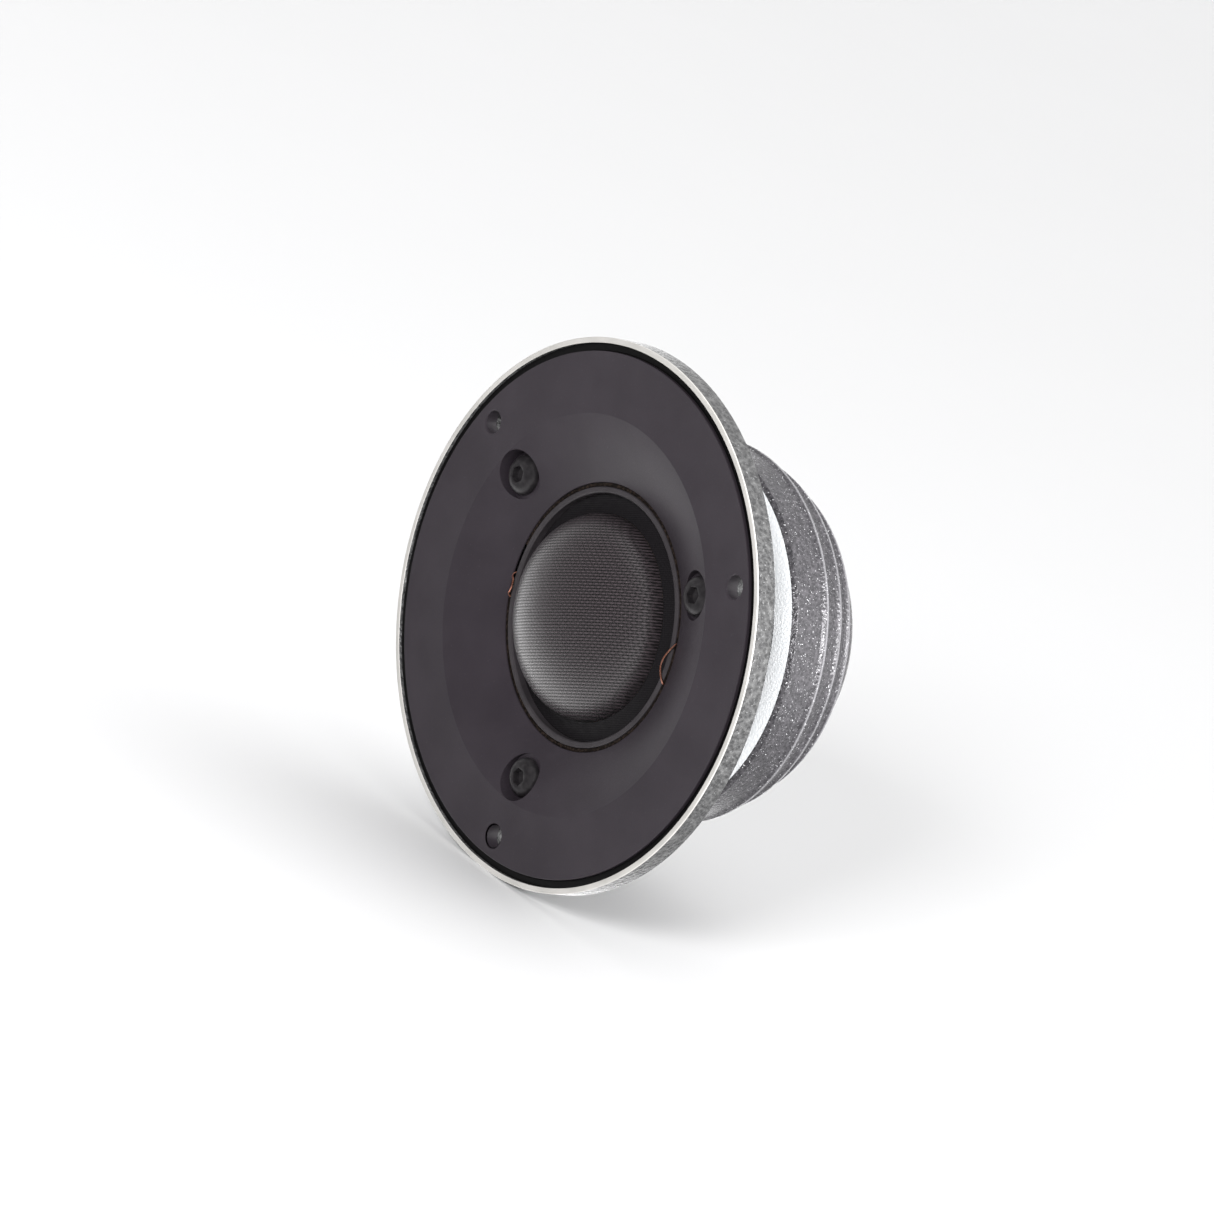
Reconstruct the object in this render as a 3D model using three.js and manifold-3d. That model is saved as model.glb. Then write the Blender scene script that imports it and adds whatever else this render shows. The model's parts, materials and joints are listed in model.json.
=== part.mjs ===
// Flange-mounted dome tweeter with a rear chamber.
// Millimetres. The axis is Y: the face looks along -Y and the rear chamber points along +Y, with +Z up.
// The origin is on the axis, in the flange's back plane, which lies against the panel.
import * as THREE from "three";
import { mergeVertices } from "three/addons/utils/BufferGeometryUtils.js";
import Module from "manifold-3d";

const wasm = await Module();
wasm.setup();

// ---- driving dimensions ----
const SEGMENTS = 64; // facets round every large turned part
const INNER_SEGMENTS = 40; // facets round the parts inside the motor and the chamber
const SMALL_SEGMENTS = 20; // facets round screws and holes
const FIT = 0.05; // gap between parts that sit together
const CLEAR = 0.3; // gap round a screw in its hole

const FLANGE_R = 38.3;
const FACE_Y = -3.25; // front face, ahead of the mounting plane
const BAND_R = 37.5; // inner edge of the machined band
const TRIM_R = 36.4; // outer edge of the faceplate
const SHELF_Y = -1.2; // shelf of the flange under the faceplate
const HUB_R = 28.5; // thick middle of the faceplate
const HUB_BACK_Y = 0.9;
const PAN_R = 29.8; // pan of the flange behind the hub
const PAN_BACK_Y = 2.15;
const PAN_BORE_R = 19.6;

const CREASE_R = 27.8; // where the flat face turns into the waveguide
const THROAT_R = 18.6;
const THROAT_Y = 0.45;

const SCREW_CIRCLE_R = 24.4;
const COUNTERBORE_R = 3.4;
const COUNTERBORE_Y = -0.9;
const SCREW_R = 1.45;
const SCREW_HEAD_R = 2.8;
const SCREW_HEAD_H = 1.65;
const SOCKET_R = 1.27; // corner radius of the hexagon socket
const SOCKET_DEPTH = 1.05;
const SCREW_ANGLES = [60, 180, 300]; // clockwise from +Z, seen from the front; mounting holes too

const MOUNT_CIRCLE_R = 33.5;
const MOUNT_HOLE_R = 1.6;
const MOUNT_SINK_R = 2.1;

const DOME_R = 14.4;
const DOME_H = 8.3;
const DOME_WALL = 0.4;
const DOME_Y = 0.9;
const FORMER_R = 14.1;
const FORMER_WALL = 0.12;
const FORMER_END_Y = 6.4;
const COIL_R = 14.4;
const COIL_Y = [2.3, 5.1];
const FRAME_R = [17.15, 18.05]; // the ring that the surround is glued to
const FRAME_Y = 0.4;

const TOP_PLATE_R = 27.3;
const TOP_PLATE_Y = [2.2, 5.2];
const GAP_R = 14.75; // bore of the top plate round the coil
const POLE_R = 13.6;
const POLE_FRONT_Y = 2.4;
const POLE_VENT_R = 4.0;
const MAGNET_R = [16.5, 21.0];
const BACK_PLATE_Y = [10.7, 13.75];
const SLEEVE_R = [21.25, 22.2];

const POD_FRONT_Y = 13.8;
const POD_R = 26.8;
const POD_WALL = 1.3;
const SEAL_R = [22.4, 26.2]; // pale foam ring on the chamber's front
const POD_REAR_Y = 34.3;
const REAR_SCREW_CIRCLE_R = 17.5;

// ---- helpers ----
const object = new THREE.Group();

function add(name, geometry, color, metalness = 0.1, roughness = 0.6) {
  const material = new THREE.MeshStandardMaterial({ color, metalness, roughness });
  const mesh = new THREE.Mesh(geometry, material);
  mesh.name = name;
  object.add(mesh);
}

// A profile of [radius, y] corners turned about the Y axis.
function turned(profile, segments = SEGMENTS) {
  const points = profile.map(([r, y]) => new THREE.Vector2(r, y));
  if (profile[0][0] > 0 || profile.at(-1)[0] > 0) {
    points.push(points[0].clone()); // closes a profile that does not start and end on the axis
  }
  return new THREE.LatheGeometry(points, segments);
}

function ring(inner, outer, front, back, segments = SEGMENTS) {
  return turned([[outer, front], [outer, back], [inner, back], [inner, front]], segments);
}

function disc(radius, front, back, segments = SEGMENTS) {
  return turned([[0, front], [radius, front], [radius, back], [0, back]], segments);
}

// A point on a circle about the axis; the angle runs clockwise from +Z, seen from the front.
function around(radius, degrees, y) {
  const a = THREE.MathUtils.degToRad(degrees);
  return new THREE.Vector3(radius * Math.sin(a), y, radius * Math.cos(a));
}

function placed(geometry, radius, degrees) {
  const at = around(radius, degrees, 0);
  return geometry.clone().translate(at.x, 0, at.z);
}

function toSolid(geometry) {
  const bare = geometry.clone();
  bare.deleteAttribute("normal");
  bare.deleteAttribute("uv");
  const merged = mergeVertices(bare, 1e-4);
  const index = merged.index.array;
  const kept = [];
  for (let i = 0; i < index.length; i += 3) {
    const [a, b, c] = [index[i], index[i + 1], index[i + 2]];
    if (a !== b && b !== c && c !== a) {
      kept.push(a, b, c);
    }
  }
  return new wasm.Manifold(new wasm.Mesh({
    numProp: 3,
    vertProperties: new Float32Array(merged.attributes.position.array),
    triVerts: new Uint32Array(kept),
  }));
}

function toGeometry(solid) {
  const mesh = solid.getMesh();
  const geometry = new THREE.BufferGeometry();
  geometry.setAttribute("position", new THREE.BufferAttribute(new Float32Array(mesh.vertProperties), 3));
  geometry.setIndex([...mesh.triVerts]);
  geometry.computeVertexNormals();
  return geometry;
}

function cut(base, tools) {
  let solid = toSolid(base);
  for (const tool of tools) {
    solid = solid.subtract(toSolid(tool));
  }
  return toGeometry(solid);
}

// A round wire along a smooth line through the points.
function wire(points, radius, steps = 14) {
  const outline = new THREE.Shape();
  outline.absarc(0, 0, radius, 0, 2 * Math.PI);
  return new THREE.ExtrudeGeometry(outline, {
    extrudePath: new THREE.CatmullRomCurve3(points),
    steps,
    curveSegments: 4,
  });
}

function boltHoles(radius, circle, angles, front, back) {
  const hole = disc(radius, front, back, SMALL_SEGMENTS);
  return angles.map((angle) => placed(hole, circle, angle));
}

// ---- front: flange, trim ring, faceplate ----
const mountHoles = boltHoles(MOUNT_HOLE_R, MOUNT_CIRCLE_R, SCREW_ANGLES, FACE_Y - 1, 1);
const screwHoles = boltHoles(SCREW_R + CLEAR, SCREW_CIRCLE_R, SCREW_ANGLES, FACE_Y - 1, 7);

const flange = turned([
  [38.1, FACE_Y],
  [FLANGE_R, FACE_Y + 0.2],
  [FLANGE_R, -0.2],
  [38.1, 0],
  [PAN_R, 0],
  [PAN_R, PAN_BACK_Y],
  [PAN_BORE_R, PAN_BACK_Y],
  [PAN_BORE_R, HUB_BACK_Y + FIT],
  [HUB_R + FIT, HUB_BACK_Y + FIT],
  [HUB_R + FIT, SHELF_Y],
  [BAND_R, SHELF_Y],
  [BAND_R, FACE_Y],
]);
add("flange_ring", cut(flange, [...mountHoles, ...screwHoles]), 0x8b8d90, 0.9, 0.5);

add("trim_ring", ring(TRIM_R + FIT, BAND_R - FIT, FACE_Y + 0.5, SHELF_Y - FIT), 0x141416, 0.2, 0.25);

// The waveguide falls from the crease to the throat, a little steeper towards the throat.
const waveguide = [];
const WAVEGUIDE_STEPS = 6;
for (let i = 0; i <= WAVEGUIDE_STEPS; i += 1) {
  const s = i / WAVEGUIDE_STEPS;
  const depth = (THROAT_Y - FACE_Y) * (0.55 * s + 0.45 * s * s);
  waveguide.push([CREASE_R - s * (CREASE_R - THROAT_R), FACE_Y + depth]);
}
const plate = turned([
  ...waveguide.reverse(),
  [TRIM_R, FACE_Y],
  [TRIM_R, SHELF_Y - FIT],
  [HUB_R, SHELF_Y - FIT],
  [HUB_R, HUB_BACK_Y],
  [THROAT_R, HUB_BACK_Y],
]);
const counterbores = boltHoles(COUNTERBORE_R, SCREW_CIRCLE_R, SCREW_ANGLES, FACE_Y - 1, COUNTERBORE_Y);
const sink = turned([
  [0, FACE_Y - 0.1],
  [MOUNT_SINK_R, FACE_Y - 0.1],
  [MOUNT_HOLE_R - 0.1, FACE_Y + 0.6],
  [0, FACE_Y + 0.6],
], SMALL_SEGMENTS);
const sinks = SCREW_ANGLES.map((angle) => placed(sink, MOUNT_CIRCLE_R, angle));
add("faceplate", cut(plate, [...counterbores, ...screwHoles, ...mountHoles, ...sinks]), 0x2b292b, 0.1, 0.7);

// ---- button-head screws with a hexagon socket ----
function buttonScrew(seat, length) {
  const crown = [];
  for (let i = 0; i <= 3; i += 1) {
    const a = (i / 3) * (Math.PI / 2);
    const radius = 1.5 + (SCREW_HEAD_R - 1.5) * Math.sin(a);
    crown.push([radius, seat - 0.25 - (SCREW_HEAD_H - 0.25) * Math.cos(a)]);
  }
  const body = turned([
    [0, seat - SCREW_HEAD_H],
    ...crown,
    [SCREW_HEAD_R, seat],
    [SCREW_R, seat],
    [SCREW_R, seat + length - 0.5],
    [SCREW_R - 0.4, seat + length],
    [0, seat + length],
  ], SMALL_SEGMENTS);
  const socket = disc(SOCKET_R, seat - SCREW_HEAD_H - 1, seat - SCREW_HEAD_H + SOCKET_DEPTH, 6);
  return cut(body, [socket]);
}

const faceScrew = buttonScrew(COUNTERBORE_Y - FIT, 6);
SCREW_ANGLES.forEach((angle, i) => {
  add(`face_screw_${i + 1}`, placed(faceScrew, SCREW_CIRCLE_R, angle), 0x1b1b1d, 0.8, 0.4);
});

// ---- diaphragm frame and the gasket strip round it ----
const LEDGE = { radius: 16.6, y: 1.95 }; // step inside the frame that carries the surround
add("diaphragm_frame", turned([
  [FRAME_R[1], FRAME_Y + 0.15],
  [FRAME_R[1], TOP_PLATE_Y[0] - FIT],
  [LEDGE.radius, TOP_PLATE_Y[0] - FIT],
  [LEDGE.radius, LEDGE.y],
  [FRAME_R[0], LEDGE.y],
  [FRAME_R[0], FRAME_Y + 0.2],
  [FRAME_R[0] + 0.2, FRAME_Y],
  [FRAME_R[1] - 0.15, FRAME_Y],
]), 0x3a383a, 0.1, 0.5);

// The strip is a ring with its ends apart on the lead's side.
const stripGap = new THREE.BoxGeometry(4, 4, 7);
stripGap.translate(-THROAT_R + 0.5, 1, -1);
const strip = ring(FRAME_R[1] + 0.1, THROAT_R - 0.1, 0.65, TOP_PLATE_Y[0] - 0.1);
add("throat_gasket", cut(strip, [stripGap]), 0x2c241f, 0, 0.9);

// ---- moving diaphragm ----
function domeArc(radius, height, base, steps) {
  const arc = [];
  for (let i = 0; i <= steps; i += 1) {
    const a = (i / steps) * (Math.PI / 2);
    arc.push([i === 0 ? 0 : radius * Math.sin(a), base - height * Math.cos(a)]);
  }
  return arc;
}
const domeOuter = domeArc(DOME_R, DOME_H, DOME_Y, 9);
const domeInner = domeArc(DOME_R - DOME_WALL, DOME_H - DOME_WALL, DOME_Y, 9).reverse();
add("dome", turned([...domeOuter, ...domeInner], INNER_SEGMENTS), 0x1d1c1e, 0, 0.5);

const former = ring(FORMER_R - FORMER_WALL, FORMER_R, DOME_Y + FIT, FORMER_END_Y, INNER_SEGMENTS);
add("coil_former", former, 0xb9a26a, 0.3, 0.5);
add("voice_coil", ring(FORMER_R + 0.03, COIL_R, ...COIL_Y, INNER_SEGMENTS), 0xb06a35, 0.9, 0.4);

// The surround drops from the dome's edge in an S curve to a flat lip on the frame's ledge.
const SURROUND_R = [DOME_R + 0.1, FRAME_R[0] - 0.1];
const SURROUND_WALL = 0.3;
const surroundTop = [];
for (let i = 0; i <= 6; i += 1) {
  const s = Math.min(1, i / 4.5);
  const drop = (LEDGE.y - SURROUND_WALL - 0.05 - DOME_Y) * Math.sin((s * Math.PI) / 2);
  surroundTop.push([THREE.MathUtils.lerp(...SURROUND_R, i / 6), DOME_Y + FIT + drop]);
}
const surroundUnder = surroundTop.map(([r, y]) => [r, y + SURROUND_WALL - FIT]);
add("surround", turned([...surroundTop, ...surroundUnder.reverse()], INNER_SEGMENTS), 0x19181a, 0, 0.7);

// ---- lead wires: each comes out of the gap round the frame, loops inwards and goes back down ----
const LEADS = [["left", -98], ["right", 87]];
const GAP_MIDDLE_R = (FRAME_R[1] + THROAT_R) / 2;
for (const [side, angle] of LEADS) {
  const path = [
    around(GAP_MIDDLE_R, angle - 9, 0.3),
    around(17.55, angle - 3.5, -0.2),
    around(17.4, angle + 2.5, -0.2),
    around(GAP_MIDDLE_R, angle + 8, 0.3),
  ];
  add(`lead_wire_${side}`, wire(path, 0.15), 0xc2703a, 0.9, 0.35);
}

// ---- motor ----
const topPlate = ring(GAP_R, TOP_PLATE_R, ...TOP_PLATE_Y);
add("top_plate", cut(topPlate, screwHoles), 0x77797c, 0.9, 0.45);
const magnet = ring(...MAGNET_R, TOP_PLATE_Y[1] + FIT, BACK_PLATE_Y[0] - FIT, INNER_SEGMENTS);
add("magnet", magnet, 0x9a9ca0, 0.9, 0.35);

const rearAngles = [0, 120, 240];
const rearHoles = boltHoles(SCREW_R + CLEAR, REAR_SCREW_CIRCLE_R, rearAngles, 10.9, 20);
const backPlate = ring(POLE_VENT_R, MAGNET_R[1], ...BACK_PLATE_Y);
add("back_plate", cut(backPlate, rearHoles), 0x77797c, 0.9, 0.45);
const pole = ring(POLE_VENT_R, POLE_R, POLE_FRONT_Y, BACK_PLATE_Y[0] - FIT, INNER_SEGMENTS);
add("pole_piece", pole, 0x77797c, 0.9, 0.45);
const felt = ring(POLE_VENT_R + 1, POLE_R - 1.5, POLE_FRONT_Y - 1.2, POLE_FRONT_Y - FIT, INNER_SEGMENTS);
add("pole_felt", felt, 0x4a4a4c, 0, 1);
const sleeve = ring(...SLEEVE_R, TOP_PLATE_Y[1] + FIT, POD_FRONT_Y - FIT, INNER_SEGMENTS);
add("motor_sleeve", sleeve, 0x161618, 0.1, 0.6);

// ---- rear chamber ----
const GASKET_Y = [POD_FRONT_Y, POD_FRONT_Y + 0.6];
const WALL_Y = [GASKET_Y[1] + FIT, GASKET_Y[1] + 2.0];
// Three terraces, each a little smaller than the last, then a rounded tail.
const terraces = [
  [POD_R - 0.5, POD_FRONT_Y],
  [POD_R, POD_FRONT_Y + 0.5],
  [POD_R, 19.8],
  [POD_R - 0.3, 20.2],
  [POD_R - 0.85, 20.25],
  [25.1, 23.9],
  [24.75, 24.25],
  [24.25, 24.3],
  [22.9, 27.4],
  [22.5, 27.75],
  [22.0, 27.8],
  [18.8, 30.6],
];
const tail = [];
for (let i = 1; i <= 4; i += 1) {
  const a = (i / 4) * (Math.PI / 2);
  tail.push([13.0 + 5.8 * Math.cos(a), 30.6 + (POD_REAR_Y - 30.6) * Math.sin(a)]);
}
const BOSS_R = 9.0; // hole in the tail for the terminal board
const inner = [
  [BOSS_R, POD_REAR_Y - POD_WALL],
  [12.6, POD_REAR_Y - POD_WALL],
  [17.2, 30.0],
  [23.2, 24.0],
  [POD_R - POD_WALL, 19.0],
  [POD_R - POD_WALL, WALL_Y[0] - FIT],
  [SEAL_R[1] + FIT, WALL_Y[0] - FIT],
  [SEAL_R[1] + FIT, POD_FRONT_Y],
];
add("chamber_shell", turned([...terraces, ...tail, [BOSS_R, POD_REAR_Y], ...inner]), 0x3b3b3d, 0.4, 0.75);
add("chamber_seal", ring(...SEAL_R, POD_FRONT_Y, WALL_Y[0] - FIT), 0xeeeeee, 0, 0.9);

add("chamber_gasket", cut(ring(8, 20.5, ...GASKET_Y), rearHoles), 0x151515, 0, 0.95);
const wall = ring(5, POD_R - POD_WALL - FIT, ...WALL_Y);
add("chamber_front", cut(wall, rearHoles), 0x202022, 0.1, 0.6);
const rearScrew = buttonScrew(0, 4.4).rotateX(Math.PI).translate(0, WALL_Y[1] + FIT, 0);
rearAngles.forEach((angle, i) => {
  add(`rear_screw_${i + 1}`, placed(rearScrew, REAR_SCREW_CIRCLE_R, angle), 0x8a8c90, 0.9, 0.4);
});
add("chamber_foam", turned([
  [13.5, 18.5],
  [21.5, 18.5],
  [21.5, 22.5],
  [16.5, 29.5],
  [4.5, 29.5],
  [4.5, 18.5],
], INNER_SEGMENTS), 0x55565a, 0, 1);

// ---- terminal board and its two blades ----
const BOARD_Y = [31.5, 35.1];
const BLADES = [["large", -4.2, 4.75, 0.8], ["small", 4.2, 2.8, 0.8]];
const slots = BLADES.map(([, x, width, thick]) => (
  new THREE.BoxGeometry(thick + 0.2, 10, width + 0.2).translate(x, 33, 0)
));
const board = turned([
  [0, BOARD_Y[0]],
  [BOSS_R - FIT, BOARD_Y[0]],
  [BOSS_R - FIT, POD_REAR_Y + FIT],
  [BOSS_R + 1, POD_REAR_Y + FIT],
  [BOSS_R + 1, BOARD_Y[1] - 0.2],
  [BOSS_R + 0.8, BOARD_Y[1]],
  [0, BOARD_Y[1]],
], INNER_SEGMENTS);
add("terminal_board", cut(board, slots), 0x17171a, 0.1, 0.5);
for (const [size, x, width, thick] of BLADES) {
  const blade = new THREE.BoxGeometry(thick, 11.6, width).translate(x, 35.8, 0);
  const hole = new THREE.CylinderGeometry(0.7, 0.7, 4, 16).rotateZ(Math.PI / 2).translate(x, 39.6, 0);
  add(`terminal_${size}`, cut(blade, [hole]), 0xb9985a, 0.9, 0.35);
}

export default object;
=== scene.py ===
import json
import math

import bmesh
import bpy
from mathutils import Matrix, Vector


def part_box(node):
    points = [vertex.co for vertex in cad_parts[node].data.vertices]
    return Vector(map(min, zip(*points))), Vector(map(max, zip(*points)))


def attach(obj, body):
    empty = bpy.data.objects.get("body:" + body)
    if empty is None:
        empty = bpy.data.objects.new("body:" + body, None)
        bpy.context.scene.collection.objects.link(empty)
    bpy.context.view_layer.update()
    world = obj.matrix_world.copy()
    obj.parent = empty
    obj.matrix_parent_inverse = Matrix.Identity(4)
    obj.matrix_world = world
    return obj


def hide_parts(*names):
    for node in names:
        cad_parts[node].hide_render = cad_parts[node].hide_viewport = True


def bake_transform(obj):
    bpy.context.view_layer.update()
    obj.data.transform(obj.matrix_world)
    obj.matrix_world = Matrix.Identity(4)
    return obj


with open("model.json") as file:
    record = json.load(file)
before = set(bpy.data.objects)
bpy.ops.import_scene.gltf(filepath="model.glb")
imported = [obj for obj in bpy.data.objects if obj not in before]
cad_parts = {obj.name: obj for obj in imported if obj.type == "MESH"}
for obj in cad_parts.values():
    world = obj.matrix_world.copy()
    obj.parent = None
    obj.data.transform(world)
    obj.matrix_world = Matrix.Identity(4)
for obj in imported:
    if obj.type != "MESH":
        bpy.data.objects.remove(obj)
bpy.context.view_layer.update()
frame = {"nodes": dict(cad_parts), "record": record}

# A flange-mounted dome tweeter, built round its CAD model. The axis is Y: the face looks along -Y and the
# rear chamber points along +Y, with +Z up. Sizes are in mm, and MM turns them into metres.
MM = 0.001
TURN = 2 * math.pi


# ---------------------------------------------------------------- sizes from the CAD
def outer_radius(node):
    """The largest radius about the Y axis of a CAD node, in mm."""
    low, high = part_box(node)
    return max(abs(low.x), abs(high.x), abs(low.z), abs(high.z)) / MM


def span(node):
    """Where a CAD node starts and ends along Y, in mm."""
    low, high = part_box(node)
    return low.y / MM, high.y / MM


FLANGE_R = outer_radius("flange_ring")
PAN_BACK = span("flange_ring")[1]
TRIM_FRONT = span("trim_ring")[0]
PLATE_R = outer_radius("faceplate")
FACE_Y, PLATE_BACK = span("faceplate")
FRAME_OUT = outer_radius("diaphragm_frame")
FRAME_FRONT, FRAME_BACK = span("diaphragm_frame")
DOME_R = outer_radius("dome")
DOME_TOP, DOME_RIM = span("dome")
POD_R = outer_radius("chamber_shell")
POD_FRONT, POD_REAR = span("chamber_shell")
SEAL_BACK = span("chamber_seal")[1]
BOARD_R = outer_radius("terminal_board")
BOARD_FRONT, BOARD_BACK = span("terminal_board")

# ---------------------------------------------------------------- sizes inside the CAD nodes' boxes
SCREW_ANGLES = (60, 180, 300)  # clockwise from +Z, seen from the front; the mounting holes too
SCREW_CIRCLE_R = 24.4
COUNTERBORE_R = 3.4
COUNTERBORE_Y = -0.9
MOUNT_CIRCLE_R = 33.5
MOUNT_HOLE_R = 1.6
SINK_R = (1.95, 1.5)  # front and back of the shallow countersink round each mounting hole

BAND_R = 37.5  # inner edge of the machined band
SHELF_Y = -1.2  # shelf of the flange under the faceplate
HUB_R = 28.55  # bore of the flange round the thick middle of the faceplate
HUB_POCKET_Y = 0.95
PAN_R = 29.8
PAN_BORE_R = 19.6

CREASE_R = 27.8  # where the flat face turns into the waveguide
THROAT_R = 18.6
THROAT_Y = 0.45

LEDGE_Y = 1.95  # the frame's ledge, which the surround's outer edge is glued to
LEDGE_R = 16.6
FRAME_RIM_R = 17.15  # inner side of the frame's rim
GASKET_Y = (0.6, 2.0)
GASKET_ENDS = (-80, 258)  # degrees clockwise from +Z
DOME_WALL = 0.3
SURROUND_WALL = 0.28
WIRE_R = 0.13

BEADS_Y = (19.75, 23.8, 27.25)  # the middle of the bead that ends each of the chamber's terraces
TAIL_START = 30.6
TAIL_R = 13.0
TAIL_ROUND = 5.8  # how much wider than TAIL_R the rounded tail starts
POD_WALL = 1.3
BOARD_HOLE_R = 9.05
SEAL_SEAT_R = 26.22
SEAL_R = (22.42, 26.18)

BOARD_STEP = 1.05  # how far the terminal board's lip covers the chamber
BOARD_RIM = 1.3
BOARD_DISH = 0.3  # the board's face lies this far below its rim
BLADE_HOLE_R = 0.7
BLADE_HOLE_INSET = 2.0


# ---------------------------------------------------------------- mesh helpers
def rounded(corners, steps=4):
    """Turns [(r, y, fillet), ...] into a closed outline whose corners are rounded by their fillet, in mm."""
    out = []
    count = len(corners)
    for i, corner in enumerate(corners):
        here = Vector(corner[:2])
        radius = corner[2] if len(corner) > 2 else 0
        before = Vector(corners[i - 1][:2]) - here
        after = Vector(corners[(i + 1) % count][:2]) - here
        if radius <= 0:
            out.append(tuple(here))
            continue
        angle = before.angle(after)
        back = min(radius / math.tan(angle / 2), before.length * 0.48, after.length * 0.48)
        start = here + before.normalized() * back
        end = here + after.normalized() * back
        for k in range(steps + 1):
            t = k / steps
            out.append(tuple((1 - t) ** 2 * start + 2 * t * (1 - t) * here + t * t * end))
    return out


def quarter_turn(steps):
    """The sine and cosine of each step from 0 to 90 degrees."""
    angles = [i / steps * math.pi / 2 for i in range(steps + 1)]
    return [(math.sin(a), math.cos(a)) for a in angles]


def around(radius, degrees, y):
    """A point on a circle about the axis; the angle runs clockwise from +Z, seen from the front."""
    a = math.radians(degrees)
    return (radius * math.sin(a), y, radius * math.cos(a))


def finish_shading(obj, smooth_angle=32):
    obj.data.shade_smooth()
    obj.data.set_sharp_from_angle(angle=math.radians(smooth_angle))


def link(mesh, name, smooth_angle=32):
    obj = bpy.data.objects.new(name, mesh)
    bpy.context.scene.collection.objects.link(obj)
    finish_shading(obj, smooth_angle)
    return obj


def made_from(bm, name, smooth_angle=32):
    """Turns finished mesh data into an object in the scene."""
    mesh = bpy.data.meshes.new(name)
    bm.to_mesh(mesh)
    bm.free()
    return link(mesh, name, smooth_angle)


def lathe(name, outline, segments=256, closed=True, smooth_angle=32):
    """An outline of (r, y) in mm turned about the Y axis. Points on the axis become one vertex."""
    bm = bmesh.new()
    turns = [(math.sin(TURN * k / segments), math.cos(TURN * k / segments)) for k in range(segments)]
    rings = []
    for r, y in outline:
        if r < 1e-6:
            rings.append([bm.verts.new((0, y * MM, 0))] * segments)
        else:
            rings.append([bm.verts.new((r * MM * s, y * MM, r * MM * c)) for s, c in turns])
    followers = rings[1:] + rings[:1] if closed else rings[1:]
    for first, second in zip(rings, followers):
        for k in range(segments):
            j = (k + 1) % segments
            unique = list(dict.fromkeys([first[k], first[j], second[j], second[k]]))
            if len(unique) > 2:
                bm.faces.new(unique)
    bmesh.ops.recalc_face_normals(bm, faces=bm.faces)
    return made_from(bm, name, smooth_angle)


def ring_outline(inner, outer, front, back, fillet):
    corners = ((outer, front), (outer, back), (inner, back), (inner, front))
    return rounded([(r, y, fillet) for r, y in corners])


def arc_strip(name, inner, outer, front, back, start, end):
    """A flat ring with its ends apart, from one angle to the other, whose front edge waves a little."""
    steps, waves, wave_height = 160, 7, 0.05
    bm = bmesh.new()
    rows = []
    for k in range(steps + 1):
        angle = start + (end - start) * k / steps
        wave = wave_height * math.sin(math.radians(angle) * waves)
        section = ((inner, front + wave), (outer, front + wave), (outer, back), (inner, back))
        rows.append([bm.verts.new(Vector(around(r, angle, y)) * MM) for r, y in section])
    for first, second in zip(rows, rows[1:]):
        for j in range(4):
            bm.faces.new([first[j], first[(j + 1) % 4], second[(j + 1) % 4], second[j]])
    bm.faces.new(rows[0])
    bm.faces.new(rows[-1][::-1])
    bmesh.ops.recalc_face_normals(bm, faces=bm.faces)
    return made_from(bm, name)


def box(name, low, high, bevel):
    """A box between two corners in mm, with rounded edges."""
    bm = bmesh.new()
    bmesh.ops.create_cube(bm, size=1)
    for vert in bm.verts:
        vert.co = Vector(low[i] if vert.co[i] < 0 else high[i] for i in range(3)) * MM
    bmesh.ops.bevel(bm, geom=bm.edges[:], offset=bevel * MM, segments=2, affect="EDGES")
    return made_from(bm, name)


def tube(name, points, radius):
    """A round wire along a smooth line through the points (mm)."""
    curve = bpy.data.curves.new(name, "CURVE")
    curve.dimensions = "3D"
    curve.bevel_depth = radius * MM
    curve.bevel_resolution = 3
    curve.resolution_u = 12
    curve.use_fill_caps = True
    spline = curve.splines.new("BEZIER")
    spline.bezier_points.add(len(points) - 1)
    for bezier, point in zip(spline.bezier_points, points):
        bezier.co = Vector(point) * MM
        bezier.handle_left_type = bezier.handle_right_type = "AUTO"
    obj = bpy.data.objects.new(name, curve)
    bpy.context.scene.collection.objects.link(obj)
    graph = bpy.context.evaluated_depsgraph_get()
    mesh = bpy.data.meshes.new_from_object(obj.evaluated_get(graph))
    bpy.data.objects.remove(obj)
    return link(mesh, name, 60)


def applied(obj):
    """Makes the result of the object's modifiers its mesh."""
    bpy.context.view_layer.update()
    graph = bpy.context.evaluated_depsgraph_get()
    mesh = bpy.data.meshes.new_from_object(obj.evaluated_get(graph))
    obj.modifiers.clear()
    obj.data = mesh


def carve(obj, cutters, bevel=0.0, smooth_angle=32):
    """Subtracts the cutters, then rounds every sharp edge by the bevel, in mm."""
    for cutter in cutters:
        modifier = obj.modifiers.new("cut", "BOOLEAN")
        modifier.object = cutter
        modifier.operation = "DIFFERENCE"
        modifier.solver = "EXACT"
        applied(obj)
        bpy.data.objects.remove(cutter)
    if bevel:
        modifier = obj.modifiers.new("bevel", "BEVEL")
        modifier.width = bevel * MM
        modifier.segments = 2
        modifier.limit_method = "ANGLE"
        modifier.angle_limit = math.radians(40)
        modifier.use_clamp_overlap = True
        applied(obj)
    finish_shading(obj, smooth_angle)


def at_angle(obj, radius, degrees, turn=0.0):
    """Moves a piece made on the Y axis out to a radius (mm) and an angle clockwise from +Z."""
    obj.data.transform(Matrix.Rotation(math.radians(turn), 4, "Y"))
    obj.data.transform(Matrix.Translation(around(radius * MM, degrees, 0)))
    return obj


def round_cutter(front_r, back_r, front, back, circle_r=0.0, degrees=0.0):
    """A cutter parallel to the axis, from its front radius to its back one, out at a place on a circle."""
    outline = [(0, front), (front_r, front), (back_r, back), (0, back)]
    return at_angle(lathe("cutter", outline, segments=48, closed=False), circle_r, degrees)


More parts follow.
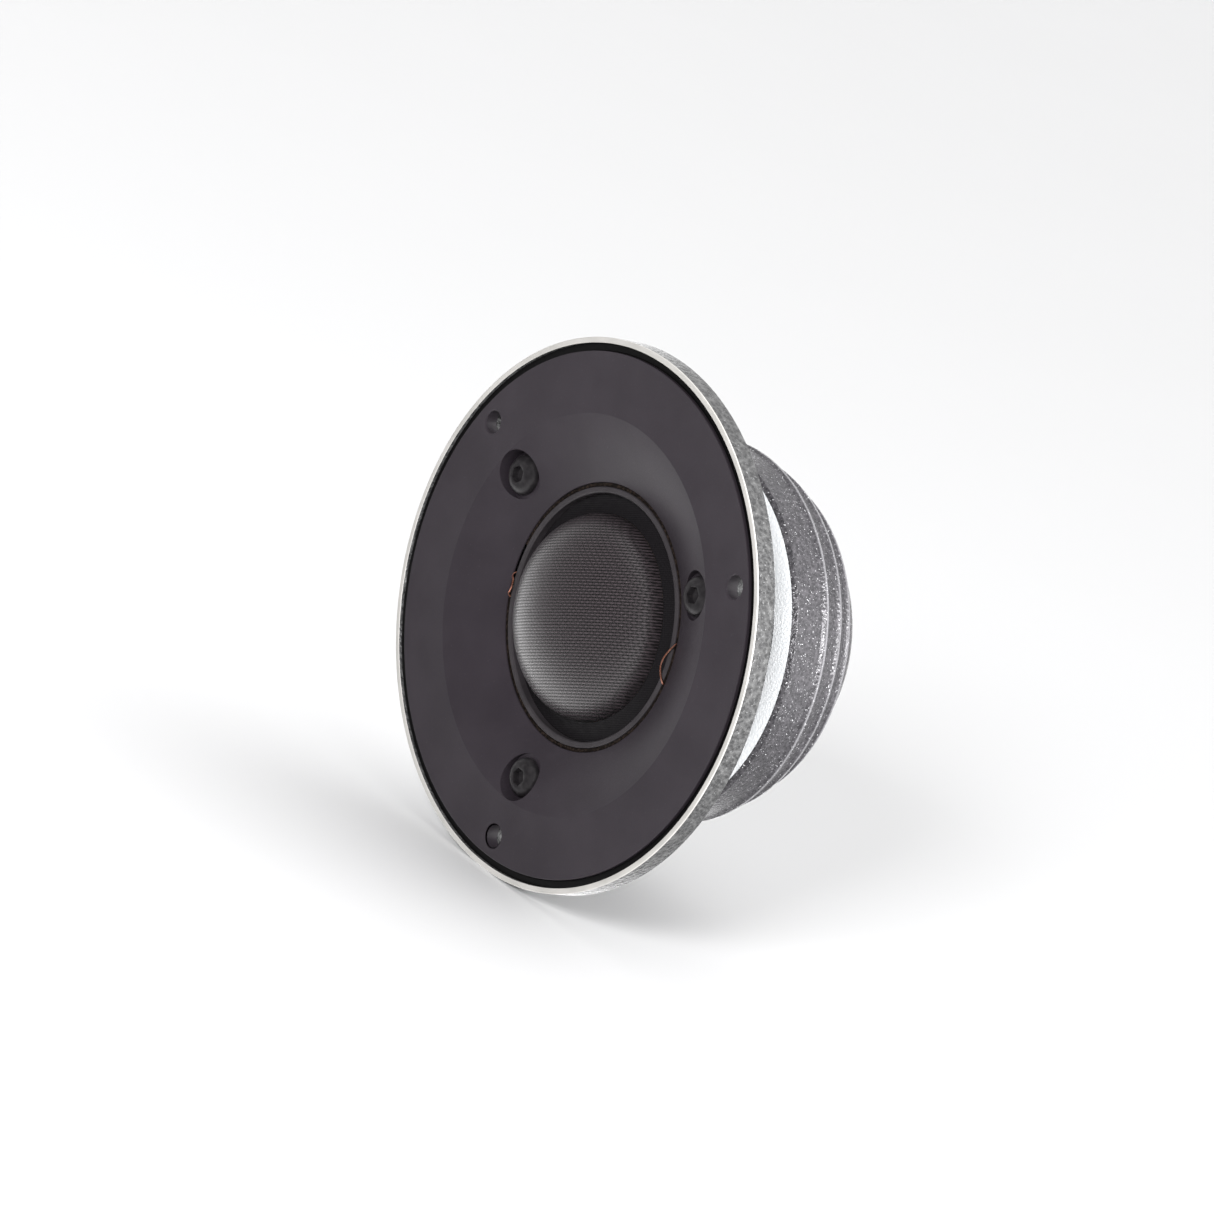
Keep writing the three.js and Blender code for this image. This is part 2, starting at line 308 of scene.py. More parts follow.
def mount_cutters(front, back):
    """One cutter for each mounting hole."""
    return [round_cutter(MOUNT_HOLE_R, MOUNT_HOLE_R, front, back, MOUNT_CIRCLE_R, a) for a in SCREW_ANGLES]


# ---------------------------------------------------------------- material helpers
def put(tree, socket, value):
    """Links a socket to another one, or gives it a constant."""
    if isinstance(value, bpy.types.NodeSocket):
        tree.links.new(value, socket)
    else:
        socket.default_value = value


def math_node(tree, operation, a, b):
    node = tree.nodes.new("ShaderNodeMath")
    node.operation = operation
    put(tree, node.inputs[0], a)
    put(tree, node.inputs[1], b)
    return node.outputs[0]


class Recipe:
    """A node material: object coordinates in mm, with short calls for the nodes in use."""

    def __init__(self, name, color, rough, metallic=0.0, specular=0.5, **extra):
        """extra: more of the shader's sockets, with _ for a space."""
        self.material = bpy.data.materials.new(name)
        self.material.use_nodes = True
        self.tree = self.material.node_tree
        self.shader = self.tree.nodes["Principled BSDF"]
        self.shader.inputs["Base Color"].default_value = (*color, 1)
        self.shader.inputs["Roughness"].default_value = rough
        self.shader.inputs["Metallic"].default_value = metallic
        self.shader.inputs["Specular IOR Level"].default_value = specular
        for socket, value in extra.items():
            self.shader.inputs[socket.replace("_", " ")].default_value = value
        coordinates = self.tree.nodes.new("ShaderNodeTexCoord")
        scale = self.tree.nodes.new("ShaderNodeVectorMath")
        scale.operation = "SCALE"
        scale.inputs["Scale"].default_value = 1 / MM
        self.link(coordinates.outputs["Object"], scale.inputs[0])
        self.mm = scale.outputs[0]
        self.normal = None

    def link(self, source, target):
        self.tree.links.new(source, target)

    def math(self, operation, a, b=0.0):
        return math_node(self.tree, operation, a, b)

    def axes(self):
        node = self.tree.nodes.new("ShaderNodeSeparateXYZ")
        self.link(self.mm, node.inputs[0])
        return node.outputs

    def radius(self):
        """The distance from the Y axis."""
        x, _, z = self.axes()
        return self.math("SQRT", self.math("ADD", self.math("MULTIPLY", x, x), self.math("MULTIPLY", z, z)))

    def noise(self, per_mm, detail=3.0, rough=0.55):
        node = self.tree.nodes.new("ShaderNodeTexNoise")
        self.link(self.mm, node.inputs["Vector"])
        node.inputs["Scale"].default_value = per_mm
        node.inputs["Detail"].default_value = detail
        node.inputs["Roughness"].default_value = rough
        return node.outputs["Fac"]

    def cells(self, per_mm, feature="SMOOTH_F1"):
        node = self.tree.nodes.new("ShaderNodeTexVoronoi")
        node.feature = feature
        self.link(self.mm, node.inputs["Vector"])
        node.inputs["Scale"].default_value = per_mm
        if feature == "SMOOTH_F1":
            node.inputs["Smoothness"].default_value = 0.6
        return node.outputs["Distance"]

    def remap(self, value, low, high, to_low=0.0, to_high=1.0):
        node = self.tree.nodes.new("ShaderNodeMapRange")
        node.inputs["From Min"].default_value = low
        node.inputs["From Max"].default_value = high
        node.inputs["To Min"].default_value = to_low
        node.inputs["To Max"].default_value = to_high
        self.link(value, node.inputs["Value"])
        return node.outputs["Result"]

    def mix(self, factor, first, second):
        """Mixes two colours, each of them constant or from a node."""
        node = self.tree.nodes.new("ShaderNodeMix")
        node.data_type = "RGBA"
        self.link(factor, node.inputs[0])
        for socket, value in ((node.inputs[6], first), (node.inputs[7], second)):
            put(self.tree, socket, (*value, 1) if isinstance(value, tuple) else value)
        return node.outputs[2]

    def bump(self, height, depth_mm):
        """Adds relief on top of any relief so far."""
        node = self.tree.nodes.new("ShaderNodeBump")
        node.inputs["Strength"].default_value = 1.0
        node.inputs["Distance"].default_value = depth_mm * MM
        self.link(height, node.inputs["Height"])
        if self.normal:
            self.link(self.normal, node.inputs["Normal"])
        self.normal = node.outputs["Normal"]
        self.link(self.normal, self.shader.inputs["Normal"])

    def color(self, source):
        self.link(source, self.shader.inputs["Base Color"])

    def rough(self, source):
        self.link(source, self.shader.inputs["Roughness"])


# ---------------------------------------------------------------- materials
DOME_PITCH = 0.42  # from thread to thread of the dome's cloth
SURROUND_PITCH = 0.3
WEAVE_TURN = math.radians(-23.6)  # the threads are turned this far about the axis
# painted glint: pale specks that stand for the coat's sparkle
PAINTED_GLINT_TONE = (0.75, 0.75, 0.77)
# painted highlight on the chamber's beads, and painted shade in the groove behind each bead
PAINTED_HIGHLIGHT_TONE = (0.28, 0.275, 0.29)
PAINTED_SHADE_TONE = (0.01, 0.01, 0.011)


def face_plastic():
    m = Recipe("face_plastic", (0.03, 0.025, 0.03), 0.46, specular=0.36)
    blotch = m.noise(0.12, 4)
    fine = m.noise(5.0, 4, 0.7)
    specks = m.remap(m.noise(3.3, 2, 0.5), 0.71, 0.76)
    tone = m.mix(m.remap(blotch, 0.35, 0.7), (0.03, 0.0245, 0.0305), (0.037, 0.0305, 0.0375))
    m.color(m.mix(m.math("MULTIPLY", specks, 0.35), tone, (0.09, 0.08, 0.09)))
    m.rough(m.remap(fine, 0.3, 0.7, 0.4, 0.52))
    m.bump(fine, 0.012)
    return m.material


def satin_plastic(name, color, rough):
    m = Recipe(name, color, rough)
    fine = m.noise(3.0, 3)
    m.color(m.mix(m.remap(m.noise(0.3, 3), 0.3, 0.7), color, tuple(c * 1.35 + 0.002 for c in color)))
    m.rough(m.remap(fine, 0.3, 0.7, rough - 0.06, rough + 0.08))
    m.bump(fine, 0.006)
    return m.material


def gloss_trim():
    m = Recipe("gloss_trim", (0.003, 0.0028, 0.003), 0.4, specular=0.18)
    m.rough(m.remap(m.noise(1.3, 4), 0.3, 0.75, 0.32, 0.5))
    m.bump(m.noise(2.0, 2), 0.01)
    return m.material


def textured_coat(name, base, light, metallic, cell_per_mm, depth, painted_glint, painted_light_beads=()):
    """Hammered or wrinkled powder coat: rounded cells over finer grain, with painted glints and painted light
    on the beads.

    painted_light_beads: places along Y (mm) of the beads, each with a painted highlight on it and painted
    shade in the groove behind it."""
    m = Recipe(name, base, 0.45, metallic=metallic)
    cells = m.cells(cell_per_mm)
    grain = m.noise(cell_per_mm * 2.0, 2, 0.6)
    waves = m.noise(cell_per_mm * 0.5, 2, 0.5)
    height = m.math("ADD", m.math("MULTIPLY", cells, 0.6), m.math("MULTIPLY", grain, 0.45))
    height = m.math("ADD", height, m.math("MULTIPLY", waves, 0.25))
    tone = m.mix(m.remap(height, 0.5, 0.95), base, light)
    y = m.axes()[1]
    # Each bead gets a painted highlight on its top, and the groove behind it gets painted shade.
    for place in painted_light_beads:
        off = m.math("ABSOLUTE", m.math("ADD", y, -place))
        tone = m.mix(m.remap(off, 0.32, 0.06, 0.0, 0.55), tone, PAINTED_HIGHLIGHT_TONE)
        off = m.math("ABSOLUTE", m.math("ADD", y, -place - 0.8))
        tone = m.mix(m.remap(off, 0.6, 0.2, 0.0, 0.8), tone, PAINTED_SHADE_TONE)
    # Pale specks in the colour are painted glints of the coat's sparkle.
    specks = m.remap(m.noise(cell_per_mm * 2.3, 1, 0.5), 0.68, 0.75)
    m.color(m.mix(m.math("MULTIPLY", specks, painted_glint), tone, PAINTED_GLINT_TONE))
    m.rough(m.remap(grain, 0.3, 0.7, 0.22, 0.44))
    m.bump(height, depth)
    return m.material


def machined_band():
    """Turned metal: fine rings about the axis, from noise that changes only with the radius."""
    m = Recipe("machined_band", (0.6, 0.59, 0.57), 0.5, metallic=0.4)
    rings = m.tree.nodes.new("ShaderNodeTexNoise")
    rings.noise_dimensions = "1D"
    rings.inputs["Scale"].default_value = 22.0
    rings.inputs["Detail"].default_value = 3.0
    m.link(m.radius(), rings.inputs["W"])
    m.rough(m.remap(m.noise(9.0, 2, 0.6), 0.3, 0.7, 0.44, 0.56))
    m.bump(rings.outputs["Fac"], 0.006)
    m.color(m.mix(m.remap(m.noise(0.25, 3), 0.35, 0.7), (0.5, 0.485, 0.465), (0.42, 0.41, 0.39)))
    return m.material


def weave(m, pitch):
    """Height of a plain weave, 0 to 1, with threads along two directions across the axis, pitch in mm."""
    x, _, z = m.axes()
    c, s = math.cos(WEAVE_TURN) / pitch, math.sin(WEAVE_TURN) / pitch
    u = m.math("ADD", m.math("MULTIPLY", x, c), m.math("MULTIPLY", z, -s))
    v = m.math("ADD", m.math("MULTIPLY", x, s), m.math("MULTIPLY", z, c))
    sin_u = m.math("SINE", m.math("MULTIPLY", u, math.pi))
    sin_v = m.math("SINE", m.math("MULTIPLY", v, math.pi))
    over = m.remap(m.math("MULTIPLY", sin_u, sin_v), -0.5, 0.5)
    across = m.math("POWER", m.math("ABSOLUTE", sin_u), 0.6)
    along = m.math("POWER", m.math("ABSOLUTE", sin_v), 0.6)
    first = m.math("MULTIPLY", across, m.remap(over, 0, 1, 0.5, 0.82))
    second = m.math("MULTIPLY", along, m.remap(over, 0, 1, 1.0, 0.8))
    return m.math("MAXIMUM", first, second)


def dome_cloth():
    m = Recipe("dome_cloth", (0.03, 0.027, 0.029), 0.35, specular=0.9, Coat_Weight=0.45, Coat_Roughness=0.32)
    height = weave(m, DOME_PITCH)
    m.color(m.mix(m.remap(height, 0.6, 0.95), (0.0018, 0.0015, 0.0017), (0.066, 0.052, 0.058)))
    m.rough(m.remap(height, 0.45, 0.95, 0.75, 0.24))
    m.bump(m.noise(0.35, 3), 0.03)
    m.bump(height, 0.085)
    return m.material


def surround_cloth():
    m = Recipe("surround_cloth", (0.004, 0.004, 0.005), 0.7, specular=0.2)
    height = weave(m, SURROUND_PITCH)
    m.color(m.mix(m.remap(height, 0.35, 0.95), (0.004, 0.0036, 0.0042), (0.013, 0.0115, 0.013)))
    m.rough(m.remap(m.noise(0.8, 3), 0.3, 0.7, 0.5, 0.72))
    m.bump(height, 0.03)
    return m.material


def copper_wire():
    m = Recipe("copper_wire", (0.75, 0.22, 0.09), 0.28, metallic=1.0)
    m.color(m.mix(m.remap(m.noise(1.2, 3), 0.35, 0.7), (1.0, 0.5, 0.36), (0.85, 0.36, 0.24)))
    m.rough(m.remap(m.noise(6, 2), 0.3, 0.7, 0.2, 0.4))
    m.bump(m.noise(8, 2), 0.01)
    return m.material


def black_steel():
    m = Recipe("black_steel", (0.014, 0.013, 0.014), 0.36, metallic=0.35, specular=0.6)
    fine = m.noise(7, 4, 0.65)
    m.color(m.mix(m.remap(m.noise(1.1, 3), 0.4, 0.75), (0.022, 0.02, 0.022), (0.045, 0.041, 0.044)))
    m.rough(m.remap(fine, 0.3, 0.7, 0.28, 0.46))
    m.bump(fine, 0.01)
    return m.material


def foam(name, dark, light, per_mm, rough=0.9):
    m = Recipe(name, light, rough, specular=0.25)
    cells = m.cells(per_mm, "F1")
    m.color(m.mix(m.remap(cells, 0.1, 0.6), light, dark))
    m.rough(m.remap(m.noise(per_mm, 3), 0.3, 0.7, rough - 0.12, rough))
    m.bump(cells, 0.04)
    return m.material


def plated(name, light, dark, rough, metallic=1.0):
    m = Recipe(name, light, rough, metallic=metallic)
    m.color(m.mix(m.remap(m.noise(0.5, 4), 0.35, 0.7), light, dark))
    m.rough(m.remap(m.noise(4, 4), 0.3, 0.7, rough - 0.07, rough + 0.12))
    m.bump(m.noise(6, 3), 0.008)
    return m.material


MATERIALS = {
    "face_plastic": face_plastic(),
    "gloss_trim": gloss_trim(),
    "frame_plastic": satin_plastic("frame_plastic", (0.034, 0.03, 0.033), 0.36),
    "sleeve_plastic": satin_plastic("sleeve_plastic", (0.012, 0.012, 0.013), 0.5),
    "textured_coat": textured_coat(
        "textured_coat", (0.026, 0.025, 0.028), (0.072, 0.068, 0.075), metallic=0.3, cell_per_mm=2.0,
        depth=0.12, painted_glint=0.75, painted_light_beads=BEADS_Y),
    "flange_metal": textured_coat(
        "flange_metal", (0.045, 0.045, 0.046), (0.13, 0.13, 0.13), metallic=0.5, cell_per_mm=1.5,
        depth=0.3, painted_glint=0.2),
    "machined_band": machined_band(),
    "dome_cloth": dome_cloth(),
    "surround_cloth": surround_cloth(),
    "copper": copper_wire(),
    "black_steel": black_steel(),
    "gasket_foam": foam("gasket_foam", (0.006, 0.004, 0.003), (0.03, 0.02, 0.015), 2.2),
    "seal_foam": foam("seal_foam", (0.8, 0.82, 0.84), (0.93, 0.94, 0.95), 2.5, 0.8),
    "felt": foam("felt", (0.03, 0.03, 0.032), (0.12, 0.12, 0.125), 3.0),
    "former_film": plated("former_film", (0.55, 0.42, 0.2), (0.4, 0.3, 0.14), 0.35, 0.4),
    "motor_steel": plated("motor_steel", (0.09, 0.09, 0.095), (0.05, 0.05, 0.052), 0.45, 0.6),
    "magnet_plating": plated("magnet_plating", (0.6, 0.59, 0.56), (0.45, 0.44, 0.42), 0.2),
    "zinc_steel": plated("zinc_steel", (0.6, 0.6, 0.6), (0.4, 0.4, 0.4), 0.3),
    "terminal_brass": plated("terminal_brass", (0.75, 0.55, 0.25), (0.55, 0.38, 0.16), 0.25),
}


def finish_piece(obj, slot, body="frame_body", node=None):
    """Gives a finished piece the material of its slot, puts it on its body and hides the CAD node that it
    stands for.

    body: None leaves the piece on no body."""
    obj.data.materials.clear()
    obj.data.materials.append(MATERIALS[slot])
    if body:
        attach(obj, body)
    if node:
        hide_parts(node)


# ---------------------------------------------------------------- flange and face
flange = lathe("flange_ring_detail", rounded([
    (FLANGE_R - 0.1, FACE_Y, 0.1), (FLANGE_R, FACE_Y + 0.12, 0.08), (FLANGE_R, -0.25, 0.2),
    (FLANGE_R - 0.25, 0, 0.1), (PAN_R, 0, 0.15), (PAN_R, PAN_BACK, 0.25), (PAN_BORE_R, PAN_BACK, 0.1),
    (PAN_BORE_R, HUB_POCKET_Y, 0.05), (HUB_R, HUB_POCKET_Y, 0.05), (HUB_R, SHELF_Y, 0.05),
    (BAND_R, SHELF_Y, 0.05), (BAND_R, FACE_Y, 0.07),
]), segments=360)
carve(flange, mount_cutters(FACE_Y - 1, 1), bevel=0.06)
finish_piece(flange, "flange_metal", node="flange_ring")
# The band is the flange's front face, with its rounded edges.
flange.data.materials.append(MATERIALS["machined_band"])
for face in flange.data.polygons:
    if face.center.y < (FACE_Y + 0.16) * MM and face.normal.y < -0.2:
        face.material_index = 1

trim = lathe("trim_ring_detail",
             ring_outline(PLATE_R + 0.04, BAND_R - 0.03, TRIM_FRONT, SHELF_Y - 0.02, 0.08), 360)
finish_piece(trim, "gloss_trim", node="trim_ring")


# The waveguide's slope, from the crease to the throat, steepens inwards.
SLOPE_STEPS = 28
slope = []
for i in range(SLOPE_STEPS + 1):
    s = i / SLOPE_STEPS
    depth = (THROAT_Y - FACE_Y) * (0.55 * s + 0.45 * s * s)
    slope.append((CREASE_R - s * (CREASE_R - THROAT_R), FACE_Y + depth))
throat_lip = rounded([slope[-4], (THROAT_R, THROAT_Y, 0.28), (THROAT_R, PLATE_BACK)])[1:-1]
plate_rest = rounded([
    (PLATE_R, FACE_Y, 0.16), (PLATE_R, SHELF_Y - 0.05, 0.05), (HUB_R - 0.1, SHELF_Y - 0.05, 0),
    (HUB_R - 0.1, PLATE_BACK, 0.05), (THROAT_R, PLATE_BACK, 0.05),
])
plate = lathe("faceplate_detail", slope[:-3] + throat_lip + plate_rest[::-1], segments=360, smooth_angle=8)
cutters = mount_cutters(FACE_Y - 1, 2)
for angle in SCREW_ANGLES:
    cutters += [
        round_cutter(COUNTERBORE_R, COUNTERBORE_R, FACE_Y - 2, COUNTERBORE_Y, SCREW_CIRCLE_R, angle),
        round_cutter(*SINK_R, FACE_Y - 0.15, FACE_Y + 0.3, MOUNT_CIRCLE_R, angle),
    ]
carve(plate, cutters, bevel=0.09, smooth_angle=8)
finish_piece(plate, "face_plastic", node="faceplate")


# ---------------------------------------------------------------- screws
def button_screw(name, seat):
    """A button-head screw with a hexagon socket, on the Y axis, its head ahead of the seat."""
    head_r, head_h, side_h, crown_r, edge = 2.8, 1.65, 0.3, 1.45, 0.08
    shank_r, shank = 1.45, 5.8
    socket_r, socket_depth, socket_point = 1.27, 1.05, 1.4
    top = seat - head_h
    outline = [(0, top)]
    outline += [(crown_r + (head_r - crown_r) * s, seat - side_h - (head_h - side_h) * c)
                for s, c in quarter_turn(16)]
    outline += [(head_r, seat - edge), (head_r - edge, seat), (shank_r, seat), (shank_r, seat + shank),
                (0, seat + shank)]
    screw = lathe(name, outline, segments=96, closed=False)
    socket = lathe("cutter", [(0, top - 1), (socket_r, top - 1), (socket_r, top + socket_depth),
                              (0, top + socket_point)], segments=6, closed=False)
    carve(screw, [socket], bevel=0.06)
    return screw


SOCKET_TURNS = (12, 34, -8)  # each screw stopped at its own angle
for i, (angle, turn) in enumerate(zip(SCREW_ANGLES, SOCKET_TURNS)):
    screw = button_screw(f"face_screw_{i + 1}_detail", COUNTERBORE_Y - 0.02)
    at_angle(screw, SCREW_CIRCLE_R, angle, turn)
    finish_piece(screw, "black_steel", node=f"face_screw_{i + 1}")


# ---------------------------------------------------------------- diaphragm
frame_ring = lathe("diaphragm_frame_detail", rounded([
    (FRAME_OUT, FRAME_FRONT + 0.12, 0.15), (FRAME_OUT, FRAME_BACK, 0.05), (LEDGE_R, FRAME_BACK, 0.05),
    (LEDGE_R, LEDGE_Y, 0.05), (FRAME_RIM_R, LEDGE_Y, 0.03), (FRAME_RIM_R, FRAME_FRONT + 0.2, 0.15),
    (FRAME_RIM_R + 0.2, FRAME_FRONT, 0.12), (FRAME_OUT - 0.15, FRAME_FRONT, 0.12),
]), segments=256)
finish_piece(frame_ring, "frame_plastic", node="diaphragm_frame")

gasket = arc_strip("throat_gasket_detail", FRAME_OUT + 0.07, THROAT_R - 0.05, *GASKET_Y, *GASKET_ENDS)
finish_piece(gasket, "gasket_foam", node="throat_gasket")


def dome_outline(radius, height):
    return [(radius * s, DOME_RIM - height * c) for s, c in quarter_turn(40)]


DOME_H = DOME_RIM - DOME_TOP
outside = dome_outline(DOME_R, DOME_H)
inside = dome_outline(DOME_R - DOME_WALL, DOME_H - DOME_WALL)
dome = lathe("dome_detail", outside + inside[::-1], segments=240, closed=False)
finish_piece(dome, "dome_cloth", "diaphragm", node="dome")

# The surround drops from the dome's edge in an S curve, and lies flat on the frame's ledge for its outer
# quarter.
surround_in = DOME_R + 0.03
surround_out = FRAME_RIM_R - 0.05
surround_drop = LEDGE_Y - SURROUND_WALL - 0.06 - DOME_RIM
surround_top = []
for i in range(33):
    s = i / 32
    drop = surround_drop * math.sin(min(1, s / 0.75) * math.pi / 2)
    surround_top.append((surround_in + s * (surround_out - surround_in), DOME_RIM + drop))
surround_under = [(r, y + SURROUND_WALL) for r, y in surround_top[::-1]]
surround = lathe("surround_detail", surround_top + surround_under, segments=256)
finish_piece(surround, "surround_cloth", None, node="surround")
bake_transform(surround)

# Each lead wire comes out of the gap round the frame, loops over the frame's rim and goes back in.
gap_r = (FRAME_OUT + THROAT_R) / 2
for side, angle, half in (("left", -99, 4.5), ("right", 87, 8.5)):
    path = [around(gap_r, angle - half - 1, 0.75), around(gap_r, angle - half, 0.3),
            around(17.7, angle - half * 0.55, -0.1), around(17.3, angle, -0.26),
            around(17.5, angle + half * 0.5, -0.15), around(gap_r, angle + half, 0.3),
            around(gap_r, angle + half + 1, 0.75)]
    wire = tube(f"lead_wire_{side}_detail", path, WIRE_R)
    finish_piece(wire, "copper", node=f"lead_wire_{side}")


# ---------------------------------------------------------------- rear chamber
# Three terraces, each of which ends in a bead and a step down to the next one, then a rounded tail.
terraces = [
    (POD_R - 0.65, POD_FRONT, 0.05), (POD_R - 0.05, POD_FRONT + 0.6, 0.15),
    (POD_R - 0.15, 18.9, 0.5), (POD_R + 0.15, 19.45, 0.25), (POD_R + 0.1, 20.0, 0.2), (26.0, 20.2, 0.1),
    (25.75, 20.6, 0.3), (24.95, 23.1, 0.5), (25.2, 23.6, 0.2), (25.05, 24.05, 0.2), (24.15, 24.25, 0.1),
    (23.95, 24.6, 0.3), (22.95, 26.6, 0.5), (23.2, 27.1, 0.2), (23.0, 27.5, 0.2), (22.1, 27.7, 0.1),
    (21.85, 28.0, 0.3),
]
tail = [(TAIL_R + TAIL_ROUND * c, TAIL_START + (POD_REAR - TAIL_START) * s) for s, c in quarter_turn(16)]
shell_inside = [
    (BOARD_HOLE_R, POD_REAR, 0.2), (BOARD_HOLE_R, POD_REAR - POD_WALL, 0.05),
    (12.6, POD_REAR - POD_WALL, 0.5), (17.2, 30.0, 0.5), (23.2, 24.0, 0.5), (POD_R - POD_WALL, 19.0, 0.5),
    (POD_R - POD_WALL, SEAL_BACK, 0.05), (SEAL_SEAT_R, SEAL_BACK, 0.05), (SEAL_SEAT_R, POD_FRONT, 0.05),
]
shell = lathe("chamber_shell_detail", rounded(terraces, 6) + tail + rounded(shell_inside),
              segments=360, smooth_angle=40)
finish_piece(shell, "textured_coat", node="chamber_shell")

seal = lathe("chamber_seal_detail", ring_outline(*SEAL_R, POD_FRONT + 0.05, SEAL_BACK - 0.01, 0.12))
finish_piece(seal, "seal_foam", node="chamber_seal")


# ---------------------------------------------------------------- terminals
BOARD_FACE = BOARD_BACK - BOARD_DISH
board = lathe("terminal_board_detail", rounded([
    (0, BOARD_FRONT, 0), (BOARD_R - BOARD_STEP, BOARD_FRONT, 0.1),
    (BOARD_R - BOARD_STEP, POD_REAR + 0.05, 0.05), (BOARD_R, POD_REAR + 0.05, 0.1),
    (BOARD_R, BOARD_BACK, 0.25), (BOARD_R - BOARD_RIM, BOARD_BACK, 0.12),
    (BOARD_R - BOARD_RIM - 0.2, BOARD_FACE, 0.12), (0, BOARD_FACE, 0),
]), segments=128, closed=False)
finish_piece(board, "frame_plastic", node="terminal_board")

sunk = BOARD_FACE - 0.1  # what stands on the board starts just below its face
for size in ("large", "small"):
    low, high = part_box(f"terminal_{size}")
    x, half_z = (low.x + high.x) / 2 / MM, high.z / MM
    collar = box(f"terminal_{size}_collar",
                 (x - 1.1, sunk, -half_z - 0.7), (x + 1.1, BOARD_BACK, half_z + 0.7), 0.12)
    finish_piece(collar, "frame_plastic")
    blade = box(f"terminal_{size}_detail",
                (low.x / MM, low.y / MM, -half_z), (high.x / MM, high.y / MM, half_z), 0.1)
    hole = round_cutter(BLADE_HOLE_R, BLADE_HOLE_R, -3, 3)
    place = Matrix.Translation((x * MM, high.y - BLADE_HOLE_INSET * MM, 0))
    hole.data.transform(place @ Matrix.Rotation(math.pi / 2, 4, "Z"))
    carve(blade, [hole])
    finish_piece(blade, "terminal_brass", node=f"terminal_{size}")

# The moulded plus sign beside the large blade, and the minus beside the small one: name, x, width, height.
MARKS = (("plus_bar", -7.0, 0.3, 1.6), ("plus_post", -7.0, 1.6, 0.3), ("minus_bar", 6.8, 1.6, 0.3))
for name, x, wide, tall in MARKS:
    mark = box(f"terminal_{name}",
               (x - wide / 2, sunk, -tall / 2), (x + wide / 2, BOARD_BACK - 0.12, tall / 2), 0.05)
    finish_piece(mark, "frame_plastic")


# ---------------------------------------------------------------- CAD nodes that stay
node_slot = {part["node"]: part["material_slot"] for part in frame["record"]["subparts"]}
for name, node in frame["nodes"].items():
    if not node.hide_render:
        node.data.materials.clear()
        node.data.materials.append(MATERIALS[node_slot[name]])
        finish_shading(node)


# ---------------------------------------------------------------- floor
FLOOR_HALF = 6.0  # metres


def floor_material():
    m = Recipe("floor", (0.75, 0.75, 0.755), 0.75, specular=0.2)
    m.rough(m.remap(m.noise(0.02, 3), 0.3, 0.7, 0.7, 0.8))
    return m.material


floor_mesh = bpy.data.meshes.new("floor")
floor_corners = [(x * FLOOR_HALF, y * FLOOR_HALF, -FLANGE_R * MM)
                 for x, y in ((-1, -1), (1, -1), (1, 1), (-1, 1))]
floor_mesh.from_pydata(floor_corners, [], [(0, 1, 2, 3)])
floor_mesh.materials.append(floor_material())
floor = bpy.data.objects.new("floor", floor_mesh)
floor.visible_glossy = False
bpy.context.scene.collection.objects.link(floor)

# ---------------------------------------------------------------- studio
AMBIENT = 1.0
BACKDROP_LEVEL = 0.95
LOBES = (
    ((-0.1, -0.95, 0.3), 85, 50, -0.86),  # the dark room ahead of the face
    ((-0.8, 0.5, -0.36), 42, 12, 2.7),  # bright wall on the left, behind
    ((-0.6, 0.05, -0.8), 45, 15, 0.8),  # its foot
    ((0.75, 0.65, 0.15), 45, 20, 2.0),  # bright wall on the right, behind
    ((0.1, 0.2, 1.0), 50, 25, 0.7),  # soft light overhead
)
world = bpy.data.worlds.new("studio")
bpy.context.scene.world = world
world.use_nodes = True
tree = world.node_tree
direction = tree.nodes.new("ShaderNodeTexCoord").outputs["Generated"]


def lobe(toward, outer, inner, gain):
    """A soft round patch of the studio: gain inside the inner angle, none outside the outer one (degrees)."""
    dot = tree.nodes.new("ShaderNodeVectorMath")
    dot.operation = "DOT_PRODUCT"
    dot.inputs[1].default_value = Vector(toward).normalized()
    tree.links.new(direction, dot.inputs[0])
    shade = tree.nodes.new("ShaderNodeMapRange")
    shade.interpolation_type = "SMOOTHSTEP"
    shade.inputs["From Min"].default_value = math.cos(math.radians(outer))
    shade.inputs["From Max"].default_value = math.cos(math.radians(inner))
    shade.inputs["To Max"].default_value = gain
    tree.links.new(dot.outputs["Value"], shade.inputs["Value"])
    return shade.outputs["Result"]


level = AMBIENT
for patch in LOBES:
    level = math_node(tree, "ADD", lobe(*patch), level)
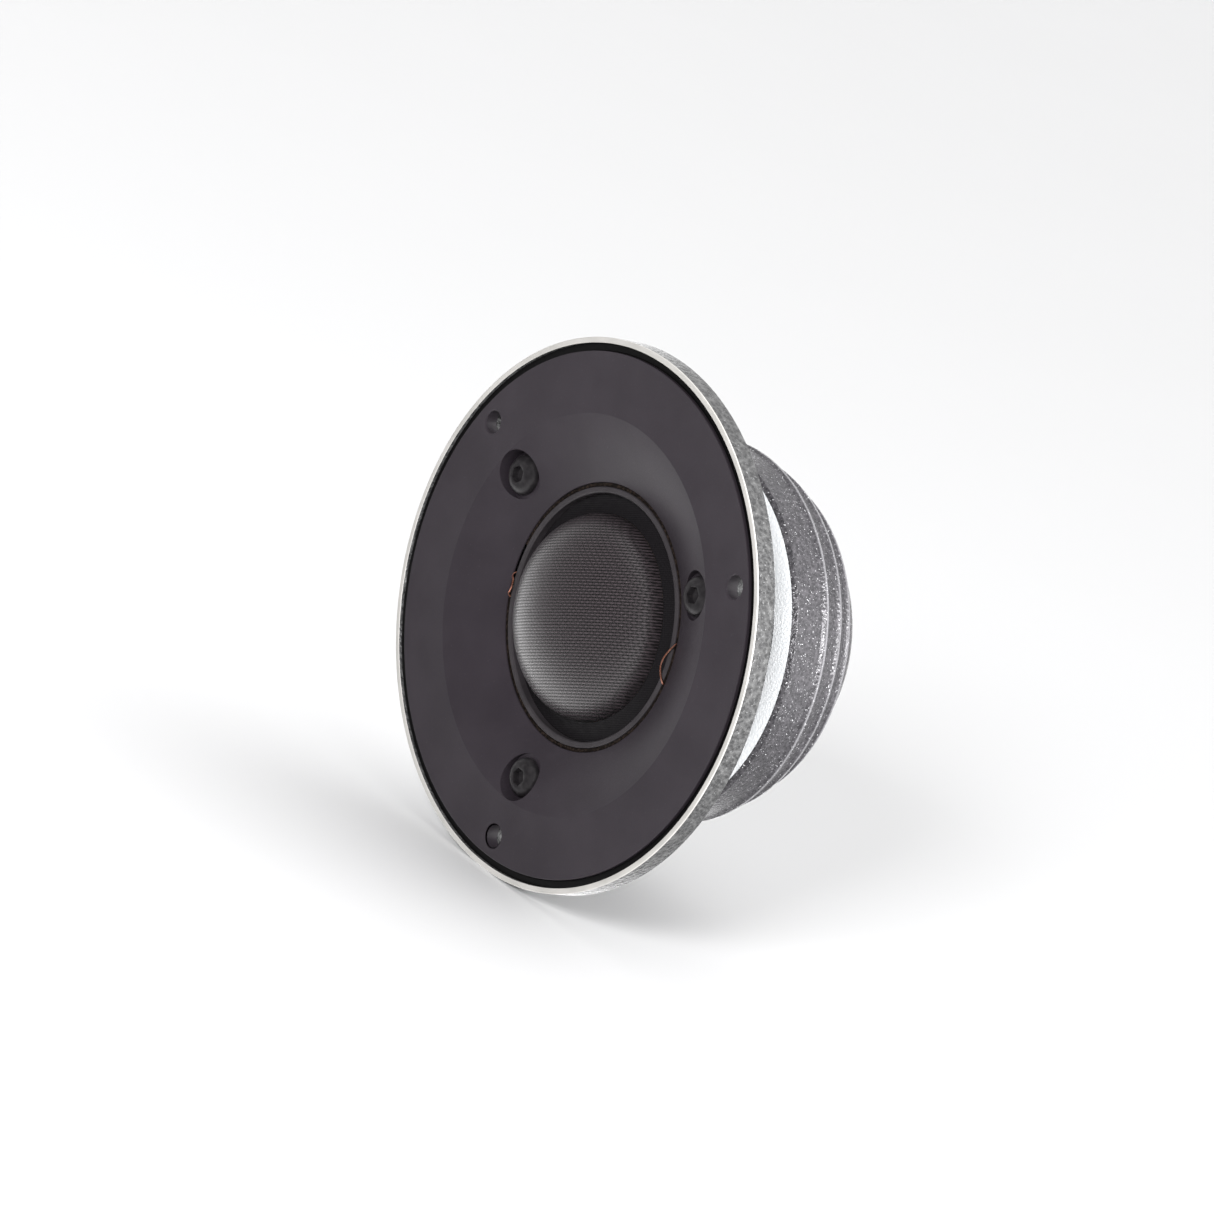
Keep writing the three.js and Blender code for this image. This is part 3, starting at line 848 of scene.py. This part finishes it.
# Seen directly, the studio is as plain and pale as its floor.
seen = tree.nodes.new("ShaderNodeMix")
tree.links.new(tree.nodes.new("ShaderNodeLightPath").outputs["Is Camera Ray"], seen.inputs[0])
tree.links.new(level, seen.inputs[2])
seen.inputs[3].default_value = BACKDROP_LEVEL
tree.nodes["Background"].inputs["Color"].default_value = (1, 1, 1, 1)
tree.links.new(seen.outputs[0], tree.nodes["Background"].inputs["Strength"])


def softbox(name, place, target, size, power):
    """A square area light at a place, aimed at a target, both in metres."""
    light = bpy.data.lights.new(name, "AREA")
    light.size = size
    light.energy = power
    obj = bpy.data.objects.new(name, light)
    obj.location = place
    obj.rotation_euler = (Vector(target) - Vector(place)).to_track_quat("-Z", "Y").to_euler()
    bpy.context.scene.collection.objects.link(obj)
    return obj


key = softbox("key", (0.42, -0.8, 0.45), (0, 0, 0), size=0.3, power=10.0)
key.visible_glossy = False
# A low lamp on the right reaches the flange's edge and into the gap behind it, and nothing else.
side = softbox("side", (0.78, -0.27, 0.34), (0, 0.01, 0), size=0.35, power=20.0)
side_lit = bpy.data.collections.new("side_lit")
for piece in (shell, seal, flange):
    side_lit.objects.link(piece)
side.light_linking.receiver_collection = side_lit

# ---------------------------------------------------------------- camera
CAMERA_PLACE = Vector((693.917, -617.203, 243.395)) * MM
CAMERA_RIGHT = Vector((0.5655661, 0.7590640, 0.3224233))
CAMERA_UP = Vector((-0.3987036, -0.0905709, 0.9125965))
CAMERA_LENS = 207.6
camera_data = bpy.data.cameras.new("camera")
camera_data.lens = CAMERA_LENS
camera_data.sensor_width = 36.0
camera_data.clip_start = 0.01
camera_data.clip_end = 50.0
camera = bpy.data.objects.new("camera", camera_data)
rotation = Matrix((CAMERA_RIGHT, CAMERA_UP, CAMERA_RIGHT.cross(CAMERA_UP))).transposed().to_4x4()
camera.matrix_world = Matrix.Translation(CAMERA_PLACE) @ rotation
bpy.context.scene.collection.objects.link(camera)
bpy.context.scene.camera = camera
bpy.context.scene.view_settings.view_transform = "Standard"

bpy.context.view_layer.update()
